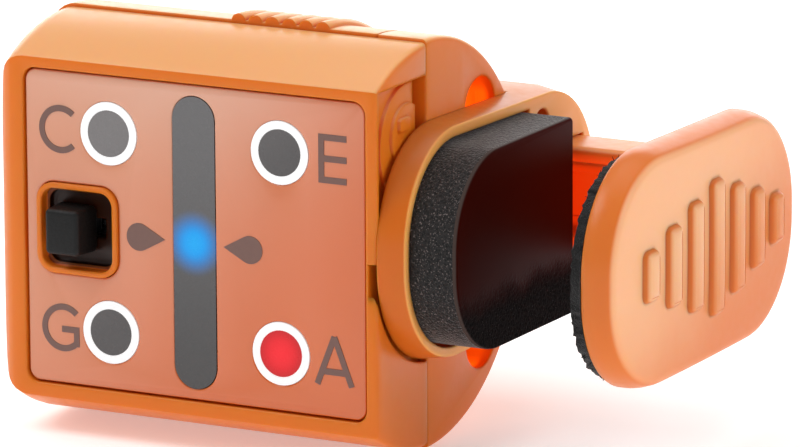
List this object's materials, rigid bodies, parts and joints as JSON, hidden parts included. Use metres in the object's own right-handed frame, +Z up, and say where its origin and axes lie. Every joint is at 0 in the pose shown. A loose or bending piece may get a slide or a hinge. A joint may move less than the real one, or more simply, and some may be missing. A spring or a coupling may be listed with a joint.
{
  "type": "clip-on instrument tuner",
  "caption": "Clip-on tuner with a round-backed body, note windows, an upright meter and a spring-closed sliding jaw for a headstock.",
  "frame": {"origin": "on the fixed jaw's pad face, where a headstock rests, at the height of the body's axis and 9.3 mm behind the display", "axes": "+X from the fixed jaw to the moving jaw, -Y out of the display, +Z up along the meter"},
  "size_m": [0.0475, 0.0301, 0.0284],
  "materials": {
    "case_plastic": "milky translucent moulded plastic, soft gloss",
    "panel_plastic": "frosted translucent sheet, satin",
    "smoked_lens": "smoked lens, satin",
    "lit_lens": "lens lit from behind",
    "white_print": "white print",
    "grey_print": "translucent grey print",
    "black_plastic": "fine matte texture",
    "board_laminate": "solder mask, satin",
    "lamp_resin": "clear resin lamp body",
    "chip_resin": "moulded resin",
    "ceramic_parts": "ceramic and tinned ends",
    "screw_steel": "zinc plated",
    "spring_steel": "drawn wire",
    "cell_steel": "nickel plated can",
    "contact_metal": "nickel plated strip",
    "sensor_brass": "rolled brass",
    "lead_red": "wire insulation",
    "pad_foam": "fine closed-cell foam",
    "pad_face": "smooth skin, soft gloss",
    "felt": "dense black felt"
  },
  "bodies": {
    "case": {"front_case": "case_plastic", "rear_case": "case_plastic", "clip_frame": "case_plastic", "sleeve_cap": "case_plastic", "display_panel": "panel_plastic", "meter_window": "smoked_lens", "note_windows": "smoked_lens", "note_window_lit": "lit_lens", "note_rings": "white_print", "note_letters": "grey_print", "pitch_marks": "grey_print", "switch_body": "cell_steel", "light_mask": "black_plastic", "circuit_board": "board_laminate", "meter_leds": "lamp_resin", "note_leds": "lamp_resin", "tuner_chip": "chip_resin", "small_parts": "ceramic_parts", "board_screws": "screw_steel", "piezo_disc": "sensor_brass", "piezo_leads": "lead_red", "battery_tray": "black_plastic", "coin_cell": "cell_steel", "contact_plus": "contact_metal", "contact_minus": "contact_metal", "clip_screws": "screw_steel", "guide_rods": "screw_steel", "clip_springs": "spring_steel", "jaw_pad": "pad_foam", "jaw_pad_skin": "pad_face"},
    "jaw": {"slide_bar": "case_plastic", "moving_jaw": "case_plastic", "felt_pad": "felt", "tail_plate": "screw_steel", "tail_screws": "screw_steel"},
    "knob": {"switch_knob": "black_plastic"},
    "cover": {"battery_cover": "case_plastic"}
  },
  "joints": [
    {"name": "clip_slide", "type": "slide", "parent": "case", "child": "jaw", "axis": [1, 0, 0], "range_m": [0, 0.012], "stiffness_N_per_m": 800, "springref_m": -0.008, "deforming": ["clip_springs"]},
    {"name": "switch_slide", "type": "slide", "parent": "case", "child": "knob", "axis": [1, 0, 0], "range_m": [0, 0.0012]},
    {"name": "cover_slide", "type": "slide", "parent": "case", "child": "cover", "axis": [-1, 0, 0], "range_m": [0, 0.003]}
  ]
}
